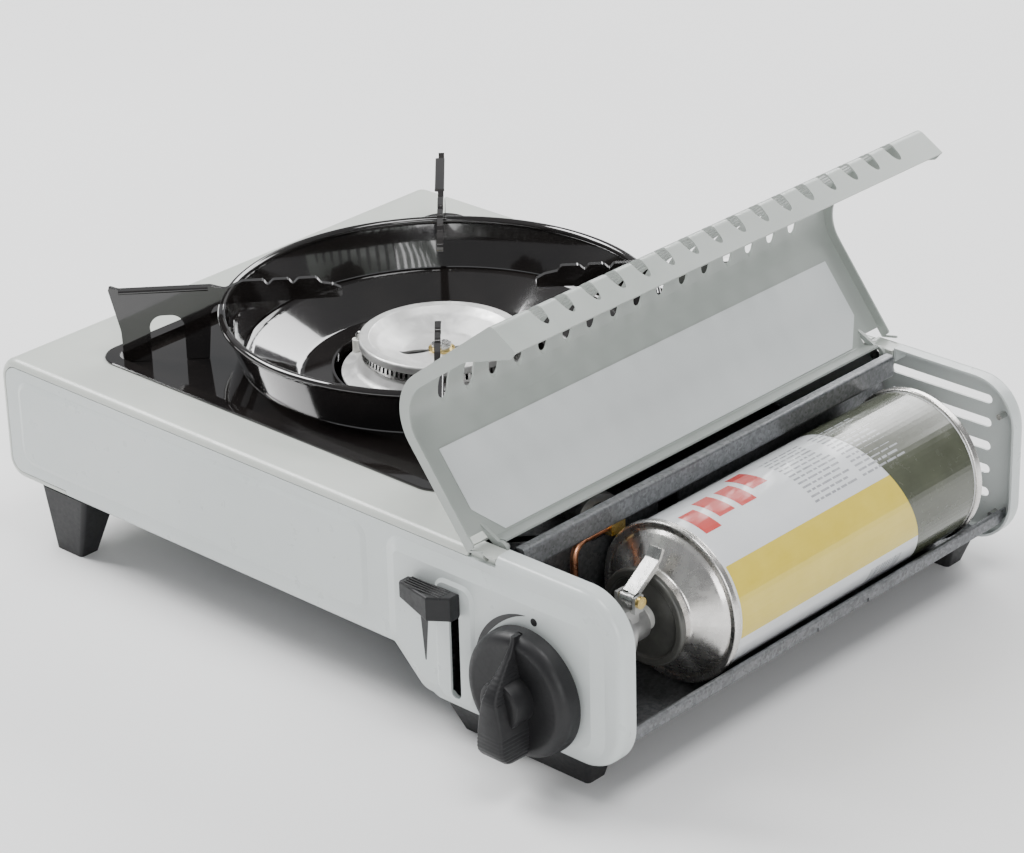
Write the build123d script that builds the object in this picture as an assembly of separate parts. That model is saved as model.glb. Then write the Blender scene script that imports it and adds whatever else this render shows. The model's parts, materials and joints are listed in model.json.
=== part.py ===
from build123d import *
import math
import os

# Portable gas stove with an open cartridge lid.
# Working frame: X from the left wall, Y back from the front face, Z up from the table, all in mm.
# Every part is shifted at the end, so that the origin is under the middle of the whole stove.

# ---------------------------------------------------------------- driving dimensions
BODY_LENGTH = 346.5
BODY_DEPTH = 250.0
BODY_TOP = 85.0
BURNER_BOX_UNDERSIDE = 29.3
GAS_BOX_UNDERSIDE = 13.0
SHEET = 1.0
THIN_SHEET = 0.8
GAP = 0.3

SEAM_LIP = 3.3
TOP_EDGE_R = 3.2
PLATE_RIGHT = 271.0
PLATE_RETURN_X = 37.0

BURNER_X = 134.2
BURNER_Y = 128.8

HINGE_X = 279.0
HINGE_Z = 83.0
LID_OPEN_DEG = 128.0
LID_OVERHANG = 1.6

CAN_X = 312.0
CAN_Z = 48.6
CAN_R = 32.0
CAN_SEAM_R = 33.2
CAN_FRONT_Y = 68.4
CAN_BACK_Y = 222.0

KNOB_X = 304.4
KNOB_Z = 38.9
KNOB_REACH = 26.5
KNOB_R = 25.9

SLOT_X = 265.5
SLOT_WIDTH = 5.2
SLOT_BOTTOM = 19.6
SLOT_TOP = 64.5

# gas valve, knob and sleeve
VALVE_Y = (12.0, 36.0)
VALVE_R = 15.0
SLEEVE_R = 6.0
SLEEVE_HOLE_R = 7.0
SPINDLE_R = 3.0
SPINDLE_FRONT = -20.0
KNOB_BASE = -3.8
KNOB_DISC = -10.4
SEAT_R = 7.2
SEAT_Y = 48.1
STEM_R = 2.4
COLLAR_Y = (50.9, 54.0)
PIPE_R = 1.6
JET_X = 278.2

# catch over the cartridge's collar
CATCH_X = 316.0
CATCH_WIDTH = 6.4
PIVOT_Y = 39.3
PIVOT_Z = 63.4
PIVOT_R = 1.2

# lock lever
PAD_FACE = -2.8
GRIP_Z = (56.4, 66.6)
BLADE = (4.4, 6.0)
BLADE_TOP = 62.8
TONGUE_Y = (42.0, 54.0)

# igniter
PIEZO_XZ = (268.6, 66.0)
WIRE_R = 0.75
LEAD_R = 1.1

# fasteners
SCREW_R = 1.6
SCREW_CLEARANCE = 0.35
SCREW_HEAD_R = 3.2
TALL_SCREWS = [(30.6, 9.0), (30.6, BODY_DEPTH - 9.0)]
LOW_SCREWS = [(x, y) for y in (12.6, BODY_DEPTH - 12.6) for x in (272.0, 312.0)]
BACK_SCREWS = [(336.8, 69.0), (334.4, 23.5)]

BACK_REACH = BODY_DEPTH + LID_OVERHANG
ORIGIN_SHIFT = (-BODY_LENGTH / 2, -(BACK_REACH - KNOB_REACH) / 2, 0)

parts = {}


# ---------------------------------------------------------------- helpers
def keep(name, *solids):
    """Record one named part made of one or more separate solids."""
    parts[name] = list(solids)


def block(x0, x1, y0, y1, z0, z1):
    """Box between two opposite corners."""
    size = (x1 - x0, y1 - y0, z1 - z0)
    centre = ((x0 + x1) / 2, (y0 + y1) / 2, (z0 + z1) / 2)
    return Pos(*centre) * Box(*size)


def face_of(corners):
    """Closed flat outline from (u, v, corner radius) corners."""
    points = [(u, v) for u, v, r in corners]
    radii = [r for u, v, r in corners]
    if not any(radii):
        return make_face(Polyline(*points, close=True))
    return make_face(FilletPolyline(*points, radius=radii, close=True))


def offset_line(corners, distance, closed):
    """Move a line of (u, v, radius) corners to its left by a distance, keeping its bends concentric."""
    count = len(corners)
    moved = []
    for i, (u, v, r) in enumerate(corners):
        before = corners[i - 1] if closed or i > 0 else None
        after = corners[(i + 1) % count] if closed or i < count - 1 else None
        headings = []
        if before is not None:
            headings.append(math.atan2(v - before[1], u - before[0]))
        if after is not None:
            headings.append(math.atan2(after[1] - v, after[0] - u))
        turn = 0.0
        if len(headings) == 2:
            turn = math.remainder(headings[1] - headings[0], math.tau)
        normal = headings[0] + turn / 2 + math.pi / 2
        reach = distance / math.cos(turn / 2)
        radius = r - math.copysign(1, turn) * distance if r else 0
        moved.append((u + reach * math.cos(normal), v + reach * math.sin(normal), max(radius, 0)))
    return moved


def inset(corners, distance):
    """Shrink an anticlockwise closed outline."""
    return offset_line(corners, distance, closed=True)


def ribbon(line, thickness):
    """Section of a bent sheet whose one side is the line and whose material lies to the line's left."""
    other = offset_line(line, thickness, closed=False)
    return face_of(line + other[::-1])


def along_y(section, y0, y1):
    """Push an XZ section from y0 back to y1."""
    return Pos(0, y0, 0) * extrude(Plane.XZ * section, amount=-(y1 - y0))


def along_z(section, z0, z1):
    """Push an XY section from z0 up to z1."""
    return Pos(0, 0, z0) * extrude(section, amount=z1 - z0)


def along_x(section, x0, x1):
    """Push a YZ section from x0 to x1."""
    return Pos(x0, 0, 0) * extrude(Plane.YZ * section, amount=x1 - x0)


def turned_z(corners, x, y):
    """Revolve an (r, z) outline about a vertical axis."""
    return Pos(x, y, 0) * revolve(Plane.XZ * face_of(corners), Axis.Z)


def turned_y(corners, x, z):
    """Revolve an (r, y) outline about an axis that runs front to back."""
    return Pos(x, 0, z) * revolve(face_of(corners), Axis.Y)


def rod_y(x, z, r, y0, y1):
    """Round bar that runs front to back."""
    return along_y(Pos(x, z) * Circle(r), y0, y1)


def rod_z(x, y, r, z0, z1):
    """Upright round bar."""
    return along_z(Pos(x, y) * Circle(r), z0, z1)


def rod_x(y, z, r, x0, x1):
    """Round bar that runs left to right."""
    return along_x(Pos(y, z) * Circle(r), x0, x1)


def rectangle(x0, x1, y0, y1, r):
    """Anticlockwise rectangle corners with one corner radius."""
    return [(x0, y0, r), (x1, y0, r), (x1, y1, r), (x0, y1, r)]


def slot_shape(width, length):
    """Upright round-ended slot centred on the origin."""
    return Rot(0, 0, 90) * SlotOverall(length, width)


def edges_at_y(solid, y, x_from=-1e6):
    """Edges that lie in the plane Y = y, right of x_from."""
    def lies_there(edge):
        box = edge.bounding_box()
        flat = abs(box.min.Y - y) < 1e-3 and abs(box.max.Y - y) < 1e-3
        return flat and box.center().X > x_from
    return [e for e in solid.edges() if lies_there(e)]


# ---------------------------------------------------------------- burner box
PAN_HALF = (100.4, 105.5)
PAN = (BURNER_X - PAN_HALF[0], BURNER_X + PAN_HALF[0], BURNER_Y - PAN_HALF[1], BURNER_Y + PAN_HALF[1])
PAN_CORNER_R = 12.0
PAN_FLANGE = 5.0
PAN_OPENING_GAP = 0.8
PAN_POCKET_FLOOR = 83.0


def pan_pocket(extra):
    """Corners of the square pocket of the drip pan, grown by an amount."""
    x0, x1, y0, y1 = PAN
    grow = extra - PAN_FLANGE
    return rectangle(x0 - grow, x1 + grow, y0 - grow, y1 + grow, PAN_CORNER_R + extra - 4)


def burner_box(shrink):
    """Solid burner box with its rounded long edges, shrunk by the sheet's thickness if asked."""
    reach = PLATE_RIGHT + 40
    corners = [
        (shrink, BURNER_BOX_UNDERSIDE + shrink, 9 - shrink),
        (reach, BURNER_BOX_UNDERSIDE + shrink, 0),
        (reach, BODY_TOP - shrink, 0),
        (shrink, BODY_TOP - shrink, 10 - shrink),
    ]
    solid = along_y(face_of(corners), shrink, BODY_DEPTH - shrink)
    radius = TOP_EDGE_R - shrink
    solid = fillet(edges_at_y(solid, shrink), radius)
    return fillet(edges_at_y(solid, BODY_DEPTH - shrink), radius)


def make_top_plate():
    reach = PLATE_RIGHT + 60
    window = [
        (SEAM_LIP, BURNER_BOX_UNDERSIDE + SEAM_LIP, 6.5),
        (reach, BURNER_BOX_UNDERSIDE + SEAM_LIP, 0),
        (reach, BODY_TOP - SEAM_LIP, 0),
        (SEAM_LIP, BODY_TOP - SEAM_LIP, 7),
    ]
    shell = burner_box(0) - burner_box(SHEET)
    shell -= along_y(face_of(window), -5, BODY_DEPTH + 5)
    shell -= block(PLATE_RIGHT, reach, -5, BODY_DEPTH + 5, 0, 100)
    shell -= block(PLATE_RETURN_X, reach, -5, BODY_DEPTH + 5, 0, BURNER_BOX_UNDERSIDE + SEAM_LIP + 5)
    shell -= along_z(face_of(pan_pocket(PAN_OPENING_GAP)), 60, 100)
    return shell


# ---------------------------------------------------------------- end panels
RIM_START = 285.3
RIM_TOP = 86.0
PANEL_R = 20.0
PANEL_RETURN = 8.0
PANEL_EDGE_R = 3.2
FIELD_RAISE = 1.9


def panel_corners():
    """Anticlockwise outline of an end panel, in X and Z."""
    seam = SEAM_LIP + GAP
    step_top = BURNER_BOX_UNDERSIDE
    return [
        (seam, step_top + seam, 6.2),
        (PLATE_RETURN_X + GAP, step_top + seam, 0),
        (PLATE_RETURN_X + GAP, step_top, 0),
        (233.7, step_top, 12),
        (250.0, GAS_BOX_UNDERSIDE, 10),
        (BODY_LENGTH, GAS_BOX_UNDERSIDE, PANEL_R),
        (BODY_LENGTH, RIM_TOP, PANEL_R),
        (RIM_START, RIM_TOP, 0),
        (RIM_START, BODY_TOP - seam, 0),
        (seam, BODY_TOP - seam, 6.7),
    ]


def panel_dish():
    """Front panel as a pressed dish: face at Y = 0, return flange going back."""
    outer = along_y(face_of(panel_corners()), 0, PANEL_RETURN)
    rim = [e for e in edges_at_y(outer, 0, PLATE_RETURN_X + 5) if e.bounding_box().center().Z < 75
           or e.bounding_box().center().X > RIM_START + 1]
    outer = fillet(rim, PANEL_EDGE_R)
    hollow = inset(panel_corners(), SHEET)
    inner = along_y(face_of(hollow), SHEET, PANEL_RETURN + 1)
    rim = [e for e in edges_at_y(inner, SHEET, PLATE_RETURN_X + 5) if e.bounding_box().center().Z < 75
           or e.bounding_box().center().X > RIM_START + 1]
    inner = fillet(rim, PANEL_EDGE_R - SHEET)
    return outer - inner


def raised_field(corners, slope, height, y_face, side):
    """Raised flat field with sloping sides. side is -1 towards the front, +1 towards the back."""
    low = Plane.XZ.offset(-y_face) * face_of(corners)
    high = Plane.XZ.offset(-(y_face + side * height)) * face_of(inset(corners, slope))
    return loft([low, high])


FIELD = [(228.0, 33.5, 8), (246.0, 16.0, 8), (338.4, 16.0, 12), (338.4, 78.0, 12), (228.0, 78.0, 8)]
LEFT_FIELD = [(11.0, 38.0, 7), (217.0, 38.0, 7), (217.0, 77.0, 7), (11.0, 77.0, 7)]
LEFT_RAISE = 0.8
PAD = [(255.0, 17.5, 6), (275.5, 17.5, 6), (275.5, 69.5, 6), (255.0, 69.5, 6)]


def make_front_panel():
    panel = panel_dish()
    field = raised_field(FIELD, 5.5, FIELD_RAISE, 0, -1)
    pad = raised_field(PAD, 1.6, 0.9, -FIELD_RAISE, -1)
    left = raised_field(LEFT_FIELD, 2.2, LEFT_RAISE, 0, -1)
    for raised in (field + pad, left):
        panel += raised
        panel -= Pos(0, SHEET, 0) * raised
    slot = Pos(SLOT_X, (SLOT_BOTTOM + SLOT_TOP) / 2) * slot_shape(SLOT_WIDTH, SLOT_TOP - SLOT_BOTTOM)
    panel -= along_y(slot, -10, 10)
    panel -= rod_y(KNOB_X, KNOB_Z, SLEEVE_HOLE_R, -10, 10)
    return panel


LOUVRE_COUNT = 5
LOUVRE_TOP = 73.3
LOUVRE_PITCH = 10.6
LOUVRE_HEIGHT = 4.0
LOUVRE_X = (279.5, 330.5)


def make_back_panel():
    panel = mirror(panel_dish(), about=Plane.XZ.offset(-BODY_DEPTH / 2))
    for i in range(LOUVRE_COUNT):
        middle = LOUVRE_TOP - i * LOUVRE_PITCH
        length = LOUVRE_X[1] - LOUVRE_X[0]
        hole = Pos(sum(LOUVRE_X) / 2, middle) * SlotOverall(length, LOUVRE_HEIGHT)
        panel -= along_y(hole, BODY_DEPTH - 5, BODY_DEPTH + 5)
    for x, z in BACK_SCREWS:
        panel -= rod_y(x, z, 1.4, BODY_DEPTH - 5, BODY_DEPTH + 5)
    return panel


# ---------------------------------------------------------------- underside, shield and hinge channel
UNDERPLATE_INSET = 4.0
TRAY_TOP = 15.0
TRAY_INSET = 3.8
HEM_X = 342.2
HEM_Z = (23.4, 28.9)
HEM_THICK = 2.4
HEM_NOTCHES = ((108.7, 121.2), (140.1, 153.0))
NOTCH_DEPTH = 2.2
SHIELD_X = 276.0
SHIELD_TOP = 75.2
CHANNEL_Y = (12.2, BODY_DEPTH - 12.2)


def make_underplate():
    x0, x1 = 12.0, 236.0
    y0, y1 = UNDERPLATE_INSET, BODY_DEPTH - UNDERPLATE_INSET
    z = BURNER_BOX_UNDERSIDE + SHEET + 0.1
    step = PLATE_RETURN_X + 3
    clear = PANEL_RETURN + GAP
    floor = block(step, x1, y0, y1, z, z + SHEET) + block(x0, step, clear, BODY_DEPTH - clear, z, z + SHEET)
    front = block(step, x1, y0, y0 + SHEET, z + SHEET, z + 9)
    back = block(step, x1, y1 - SHEET, y1, z + SHEET, z + 9)
    plate = floor + front + back
    for i in range(4):
        for j in range(3):
            hole = Pos(75 + i * 38, 60 + j * 65) * slot_shape(5, 28)
            plate -= along_z(hole, 25, 40)
    return drilled(plate)


def make_gas_tray():
    line = [
        (237.0, 31.4, 0),
        (239.0, 31.4, 3),
        (251.5, TRAY_TOP - THIN_SHEET, 6),
        (326.5, TRAY_TOP - THIN_SHEET, 6),
        (HEM_X - THIN_SHEET, HEM_Z[0] + 1, 2),
        (HEM_X - THIN_SHEET, HEM_Z[1], 0),
    ]
    tray = along_y(ribbon(line, THIN_SHEET), TRAY_INSET, BODY_DEPTH - TRAY_INSET)
    hem_corners = rectangle(HEM_X - HEM_THICK, HEM_X, HEM_Z[0], HEM_Z[1], 0.9)
    hem = along_y(face_of(hem_corners), PANEL_RETURN, BODY_DEPTH - PANEL_RETURN)
    for y0, y1 in HEM_NOTCHES:
        hem -= block(HEM_X - THIN_SHEET, HEM_X + 1, y0, y1, HEM_Z[0] - 1, HEM_Z[0] + NOTCH_DEPTH)
    return drilled(tray + hem)


def make_heat_shield():
    shield = block(SHIELD_X, SHIELD_X + SHEET, TRAY_INSET, BODY_DEPTH - TRAY_INSET, TRAY_TOP, SHIELD_TOP)
    d_hole = [(61.0, 64.5, 3), (78.0, 64.5, 9), (90.0, 71.0, 2), (90.0, 74.4, 0.8), (61.0, 74.4, 0.8)]
    shield -= along_x(face_of(d_hole), SHIELD_X - 5, SHIELD_X + 5)
    shield -= block(SHIELD_X - 5, SHIELD_X + 5, 101.5, 114.2, 56.5, 66.5)
    shield -= block(SHIELD_X - 5, SHIELD_X + 5, TONGUE_Y[0] - 8, TONGUE_Y[1] + 2, TRAY_TOP - 1, TRAY_TOP + 5)
    return shield


def make_hinge_channel():
    line = [
        (SHIELD_X - 2, SHIELD_TOP, 0),
        (288.6, SHIELD_TOP, 1.6),
        (288.6, BODY_TOP, 1.4),
        (284.6, BODY_TOP, 0),
    ]
    return along_y(ribbon(line, THIN_SHEET), *CHANNEL_Y)


LUG_X = (271.6, 284.8)
LUG_Y = (0.4, 8.6)
LUG_TOP = 84.8
PIN_R = 1.5
PIN_RUNNING_GAP = 0.05
EAR_Y = (9.6, 11.2)
EAR_R = 3.4


def make_hinge_lug():
    """Folded bracket in the front corner that carries one hinge pin."""
    top = block(*LUG_X, *LUG_Y, LUG_TOP - SHEET, LUG_TOP)
    leg_foot = BODY_TOP - SEAM_LIP - GAP
    legs = [block(*LUG_X, y, y + SHEET, leg_foot, LUG_TOP - SHEET) for y in (1.6, LUG_Y[1] - SHEET)]
    lug = top + legs[0] + legs[1]
    return lug - rod_y(HINGE_X, HINGE_Z, PIN_R, -5, 15)


def make_hinge_pin():
    shaft = rod_y(HINGE_X, HINGE_Z, PIN_R, 2.8, EAR_Y[1] + 1.4)
    head = rod_y(HINGE_X, HINGE_Z, PIN_R + 1.0, EAR_Y[1] + 0.4, EAR_Y[1] + 1.4)
    return shaft + head


def to_back(solid):
    """Mirror a front piece to the back end."""
    return mirror(solid, about=Plane.XZ.offset(-BODY_DEPTH / 2))


# ---------------------------------------------------------------- lid, drawn closed and then swung open
LID_SHEET = 0.8
LID_TOP = HINGE_Z + 4.3
LID_SIDE_X = HINGE_X + 71.4
LID_START_X = HINGE_X + 5.1
LID_CORNER_R = 20.8
LIP_BEND_Z = HINGE_Z - 67.0
LIP_LENGTH = 14.0
LIP_SLOPE_DEG = 21.0
LID_Y = (-LID_OVERHANG, BODY_DEPTH + LID_OVERHANG)
FLANGE_DEPTH = 4.6
VENT_COUNT = 16
VENT_PITCH = 13.9
VENT_WIDTH = 5.4
VENT_Z = (LIP_BEND_Z - 3.2, HINGE_Z + 1.6)
BEAD_RAISE = 0.6


def lid_line():
    """Outer side of the closed lid, from the hinge edge round to the free edge of the lip."""
    slope = math.radians(LIP_SLOPE_DEG)
    free_x = LID_SIDE_X - LIP_LENGTH * math.cos(slope)
    free_z = LIP_BEND_Z - LIP_LENGTH * math.sin(slope)
    return [
        (LID_START_X, LID_TOP, 0),
        (LID_SIDE_X, LID_TOP, LID_CORNER_R),
        (LID_SIDE_X, LIP_BEND_Z, 3.0),
        (free_x, free_z, 0),
    ]


def swing_open(solid):
    """Turn a closed lid piece about the hinge pin to the open rest position."""
    axis = Axis((HINGE_X, 0, HINGE_Z), (0, 1, 0))
    return solid.rotate(axis, -LID_OPEN_DEG)


def end_flange(y0, y1):
    """Side wall of the lid, which deepens to a pointed tab at the lip."""
    inner_x = LID_SIDE_X - FLANGE_DEPTH
    inner_z = LID_TOP - FLANGE_DEPTH
    free_x, free_z = lid_line()[3][:2]
    corners = [
        (LID_START_X, LID_TOP, 0),
        (LID_START_X, inner_z, 1.2),
        (inner_x, inner_z, LID_CORNER_R - FLANGE_DEPTH),
        (inner_x - 1.5, LIP_BEND_Z + 22, 14),
        (free_x - 1.0, free_z + 4.5, 1.0),
        (free_x, free_z, 0),
        (LID_SIDE_X, LIP_BEND_Z, 3.0),
        (LID_SIDE_X, LID_TOP, LID_CORNER_R),
    ]
    return along_y(face_of(corners), y0, y1)


def vent_bead(y):
    """Shallow stiffening bead between two vents, following the lid's corner."""
    line = [
        (LID_SIDE_X - 32, LID_TOP - 0.01, 0),
        (LID_SIDE_X - 0.01, LID_TOP - 0.01, LID_CORNER_R),
        (LID_SIDE_X - 0.01, LIP_BEND_Z + 8, 0),
    ]
    return along_y(ribbon(line, BEAD_RAISE), y - 0.9, y + 0.9)


def make_lid_panel():
    curl = (HINGE_X + 1.75, HINGE_Z - 2.64, 0)
    skin_line = [curl] + [(LID_START_X, LID_TOP, 1.5)] + lid_line()[1:]
    clockwise_skin = ribbon(skin_line, -LID_SHEET)
    lid = along_y(clockwise_skin, *LID_Y)
    lid = lid + end_flange(LID_Y[0], LID_Y[0] + LID_SHEET)
    lid = lid + end_flange(LID_Y[1] - LID_SHEET, LID_Y[1])
    notch_depth = EAR_Y[1] + 0.4
    for y0, y1 in ((LID_Y[0] + LID_SHEET, notch_depth), (BODY_DEPTH - notch_depth, LID_Y[1] - LID_SHEET)):
        lid -= block(HINGE_X - 5, HINGE_X + 9.5, y0, y1, HINGE_Z - 6, LID_TOP + 1)
    first = BODY_DEPTH / 2 - VENT_PITCH * (VENT_COUNT - 1) / 2
    for i in range(VENT_COUNT):
        y = first + i * VENT_PITCH
        side = Pos(y, sum(VENT_Z) / 2) * slot_shape(VENT_WIDTH, VENT_Z[1] - VENT_Z[0])
        lid -= along_x(side, LID_SIDE_X - 14, LID_SIDE_X + 2)
    for i in range(VENT_COUNT + 1):
        lid += vent_bead(first + (i - 0.5) * VENT_PITCH)
    for y0, y1 in (EAR_Y, (BODY_DEPTH - EAR_Y[1], BODY_DEPTH - EAR_Y[0])):
        ear = rod_y(HINGE_X, HINGE_Z, EAR_R, y0, y1)
        web = [(HINGE_X - 1, HINGE_Z + 1, 0), (HINGE_X + 3, HINGE_Z - 1, 0),
               (HINGE_X + 13, LID_TOP - 0.5, 0), (HINGE_X + 9.6, LID_TOP - 0.2, 0),
               (HINGE_X + 5, LID_TOP - 1.6, 0)]
        lid += ear + along_y(face_of(web), y0, y1)
        lid -= rod_y(HINGE_X, HINGE_Z, PIN_R + PIN_RUNNING_GAP, y0 - 2, y1 + 2)
    return swing_open(lid)


def make_lid_label():
    inner = LID_TOP - LID_SHEET
    u = [HINGE_X + d for d in (6.4, 18.4, 44.0)]
    y = (9.0, 19.5, BODY_DEPTH - 19.5, BODY_DEPTH - 9.0)
    shape = [(u[0], y[1], 0), (u[1], y[0], 0), (u[2], y[0], 0),
             (u[2], y[3], 0), (u[1], y[3], 0), (u[0], y[2], 0)]
    return swing_open(along_z(face_of(shape), inner - 0.35, inner - 0.05))


# ---------------------------------------------------------------- drip pan and pot support
PAN_SHEET = 0.9
DISH_R = (80.0, 60.0)
DISH_FLOOR = 73.0
PAN_HOLE_R = 45.5
RING_R = (84.6, 91.4)
RING_Z = (PAN_POCKET_FLOOR + GAP, 102.6)
RING_SHEET = 1.2
RIM_BEAD_R = 1.8
POT_LEVEL = 117.0
ARM_SHEET = 2.6
ARM_ANGLES = (46.6, 133.4, 226.6, 313.4)


def make_drip_pan():
    x0, x1, y0, y1 = PAN
    flange_z = BODY_TOP + 0.1
    flange = along_z(face_of(rectangle(x0, x1, y0, y1, PAN_CORNER_R)), flange_z, flange_z + PAN_SHEET)
    flange = chamfer(flange.faces().sort_by(Axis.Z)[-1].edges(), 0.4)
    pocket = along_z(face_of(pan_pocket(0)), PAN_POCKET_FLOOR - PAN_SHEET, flange_z)
    dish = [(0, DISH_FLOOR - PAN_SHEET, 0), (DISH_R[1], DISH_FLOOR - PAN_SHEET, 9),
            (DISH_R[0], PAN_POCKET_FLOOR - PAN_SHEET, 4), (DISH_R[0] + 6, PAN_POCKET_FLOOR - PAN_SHEET, 0),
            (DISH_R[0] + 6, PAN_POCKET_FLOOR, 0), (0, PAN_POCKET_FLOOR, 0)]
    outside = flange + pocket + turned_z(dish, BURNER_X, BURNER_Y)
    hollow_pocket = along_z(face_of(pan_pocket(-PAN_SHEET)), PAN_POCKET_FLOOR, flange_z + 5)
    hollow_dish = [(0, DISH_FLOOR, 0), (DISH_R[1], DISH_FLOOR, 8), (DISH_R[0], PAN_POCKET_FLOOR, 5),
                   (DISH_R[0] + 3, PAN_POCKET_FLOOR, 0), (DISH_R[0] + 3, PAN_POCKET_FLOOR + 1, 0),
                   (0, PAN_POCKET_FLOOR + 1, 0)]
    pan = outside - hollow_pocket - turned_z(hollow_dish, BURNER_X, BURNER_Y)
    collar = [(PAN_HOLE_R, DISH_FLOOR - PAN_SHEET, 0), (PAN_HOLE_R + 1, DISH_FLOOR - PAN_SHEET, 0),
              (PAN_HOLE_R + 1, DISH_FLOOR + 3, 0), (PAN_HOLE_R, DISH_FLOOR + 3, 0)]
    pan -= rod_z(BURNER_X, BURNER_Y, PAN_HOLE_R, 60, 80)
    return pan + turned_z(collar, BURNER_X, BURNER_Y)


def make_support_ring():
    wall = ribbon([(RING_R[0], RING_Z[0], 0), (RING_R[1], RING_Z[1], 0)], RING_SHEET)
    bead = Pos(RING_R[1] - 0.5, RING_Z[1]) * Circle(RIM_BEAD_R)
    ring = revolve(Plane.XZ * wall, Axis.Z) + revolve(Plane.XZ * bead, Axis.Z)
    return Pos(BURNER_X, BURNER_Y, 0) * ring


def arm_corners():
    """Side view of one arm, as distance from the burner's axis and height."""
    foot = PAN_POCKET_FLOOR + 0.15
    top = POT_LEVEL
    outer = [(132.6, foot, 0.6), (133.0, 97.0, 16), (137.6, top + 0.4, 1.0), (133.0, top - 1.4, 3)]
    dip = [(95.0, top - 1.4, 4), (89.0, top - 3.2, 3)]
    teeth = []
    for outer_r, inner_r in ((81.6, 73.0), (68.8, 62.6), (58.4, 51.0)):
        teeth += [(outer_r, top, 2.0), (inner_r, top, 1.2)]
        teeth.append((inner_r - 1.8, top - 2.4, 0.8))
    nose = [(44.0, top - 3.4, 2.5), (40.4, top - 5.4, 1.5), (40.4, 108.0, 1.5)]
    inner = [(93.4, 107.2, 4), (95.2, 104.0, 2), (97.0, foot, 0.6), (106.6, foot, 0.6)]
    window = [(106.6, 103.4, 5.5), (121.0, 103.4, 5.5), (121.0, foot, 0.6)]
    corners = outer + dip + teeth + nose + inner + window
    return corners


def make_support_arm(angle):
    plate = along_y(face_of(arm_corners()), -ARM_SHEET / 2, ARM_SHEET / 2)
    top = POT_LEVEL - 1.4
    fold = Pos(114.5, 0.6, top - 0.8) * Box(37, 4.4, 1.6)
    fold = fillet(fold.edges().filter_by(Axis.X), 0.7)
    return Pos(BURNER_X, BURNER_Y, 0) * Rot(0, 0, angle) * (plate + fold)


# ---------------------------------------------------------------- burner
BOWL_R = 34.8
BOWL_TOP = 88.4
TOOTH_COUNT = 90
TOOTH_Z = (80.6, 84.6)
BOWL_FLOOR = 81.4
HUB_R = 17.0
HUB_Z = (44.0, 64.5)
TUBE_R = 8.0
TUBE_START = Vector(272.0, 74.0, 68.6)
TUBE_END = Vector(BURNER_X, BURNER_Y, 53.0)
TUBE_WAY = (TUBE_END - TUBE_START).normalized()
BURNER_SCREW_R = 2.5
CERAMIC_R = 2.2
ELECTRODE_ANGLE = math.radians(200)
ELECTRODE_XY = (BURNER_X + 39.2 * math.cos(ELECTRODE_ANGLE), BURNER_Y + 39.2 * math.sin(ELECTRODE_ANGLE))


def make_burner_body():
    corners = [(0, HUB_Z[0], 0), (HUB_R, HUB_Z[0], 0), (HUB_R, HUB_Z[1], 3), (33, 69, 4), (42.5, 71.5, 2),
               (42.5, 73.4, 0.8), (36.0, 75.4, 4), (33.4, 79.5, 2), (33.4, TOOTH_Z[0], 0), (27.0, TOOTH_Z[0], 0),
               (27.0, 73.0, 4), (HUB_R - 2.5, 67.0, 2), (HUB_R - 2.5, HUB_Z[0] + 2, 0), (0, HUB_Z[0] + 2, 0)]
    body = turned_z(corners, BURNER_X, BURNER_Y)
    boss = rod_z(BURNER_X, BURNER_Y, 5.0, HUB_Z[0] + 2, BOWL_FLOOR - SHEET)
    body += boss - rod_z(BURNER_X, BURNER_Y, BURNER_SCREW_R, HUB_Z[0] + 2, 90)
    body -= extrude(Plane(origin=TUBE_START, z_dir=TUBE_WAY) * Circle(TUBE_R - 1.2),
                    amount=(TUBE_END - TUBE_START).length - 8)
    return body - rod_z(*ELECTRODE_XY, CERAMIC_R + PIN_RUNNING_GAP, 60, 90)


def make_flame_ring():
    inner = 27.8
    ring = turned_z([(inner, TOOTH_Z[0], 0), (33.8, TOOTH_Z[0], 0), (33.2, TOOTH_Z[1], 0), (inner, TOOTH_Z[1], 0)],
                    BURNER_X, BURNER_Y)
    cutter = Pos(0, 0, TOOTH_Z[0] + 2.6) * Box(20, 1.15, 3.2)
    cuts = [Pos(BURNER_X, BURNER_Y, 0) * Rot(0, 0, 360 * i / TOOTH_COUNT) * Pos(38.5, 0, 0) * cutter
            for i in range(TOOTH_COUNT)]
    return ring - cuts


def make_burner_bowl():
    under = BOWL_FLOOR - SHEET
    hole = BURNER_SCREW_R + PIN_RUNNING_GAP
    corners = [(hole, under, 0), (16.0, under, 6), (27.5, TOOTH_Z[1], 0), (BOWL_R, TOOTH_Z[1], 0.8),
               (BOWL_R, BOWL_TOP, 1.2), (30.4, BOWL_TOP, 1.0), (27.0, 85.9, 5), (16.0, BOWL_FLOOR, 6),
               (hole, BOWL_FLOOR, 0)]
    bowl = turned_z(corners, BURNER_X, BURNER_Y)
    for angle in (55, 235):
        leaf = Rot(0, 0, angle) * Pos(11.5, 0) * Ellipse(6.5, 1.9)
        bowl -= Pos(BURNER_X, BURNER_Y, 0) * along_z(leaf, 75, 90)
    return bowl


def make_burner_screw():
    head = rod_z(BURNER_X, BURNER_Y, 4.2, BOWL_FLOOR + 0.8, BOWL_FLOOR + 2.6)
    head -= block(BURNER_X - 5, BURNER_X + 5, BURNER_Y - 0.5, BURNER_Y + 0.5, BOWL_FLOOR + 1.6, BOWL_FLOOR + 3)
    return head + rod_z(BURNER_X, BURNER_Y, BURNER_SCREW_R, HUB_Z[0] + 14, BOWL_FLOOR + 0.8)


def make_burner_washer():
    ring = rod_z(BURNER_X, BURNER_Y, 5.6, BOWL_FLOOR, BOWL_FLOOR + 0.8)
    return ring - rod_z(BURNER_X, BURNER_Y, BURNER_SCREW_R + PIN_RUNNING_GAP, 70, 90)


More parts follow.
